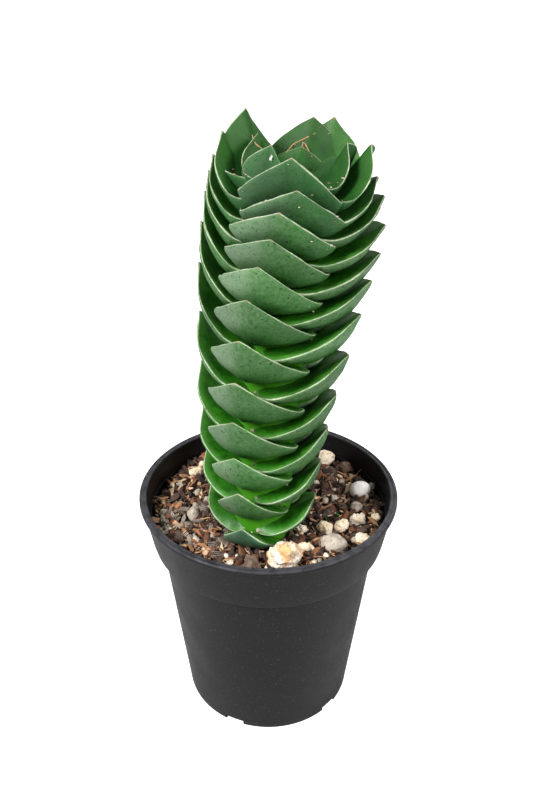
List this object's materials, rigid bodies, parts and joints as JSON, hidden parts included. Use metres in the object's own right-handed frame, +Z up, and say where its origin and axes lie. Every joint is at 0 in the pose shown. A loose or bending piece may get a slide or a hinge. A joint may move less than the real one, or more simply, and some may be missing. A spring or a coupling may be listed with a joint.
{
  "type": "potted column succulent",
  "caption": "Square, leaning column of stacked clasping succulent leaves in a round tapered nursery pot, with gritty soil and loose stones on top.",
  "frame": {"origin": "centre of the pot's foot, on the surface that the pot stands on, below the centre of the whole", "axes": "+Z up, along the pot's axis; -Y towards the side seen in the picture; +X to its right"},
  "size_m": [0.0798, 0.08, 0.1891],
  "materials": {
    "pot_plastic": "charcoal black moulded plastic, satin, with fine grey scuffs",
    "soil": "dark brown grit, bark and tan fibres",
    "leaf": "waxy succulent leaf, pale grey-green mottled outside, glossy bright green inside, cream edge",
    "pale_stone": "cream and white stone, porous",
    "grey_stone": "grey weathered pebble",
    "orange_stone": "cream rock stained orange",
    "brown_stone": "rough grey-brown rock"
  },
  "bodies": {
    "root": {"pot": "pot_plastic", "soil": "soil", "leafy_stem": "leaf", "pebble_white_right": "pale_stone", "pebble_grey_small_right": "grey_stone", "stone_cream_block_right": "pale_stone", "stone_cream_left_of_block": "pale_stone", "stone_cream_middle_right": "pale_stone", "pebble_grey_large_right": "grey_stone", "stone_beige_by_rim": "grey_stone", "rock_orange_front": "orange_stone", "stone_tan_front_right": "orange_stone", "stone_brown_front": "brown_stone", "stone_cream_back_right": "pale_stone", "stone_brown_back_right": "brown_stone", "pebble_cream_back_left": "pale_stone", "stone_grey_left": "grey_stone"}
  },
  "joints": []
}
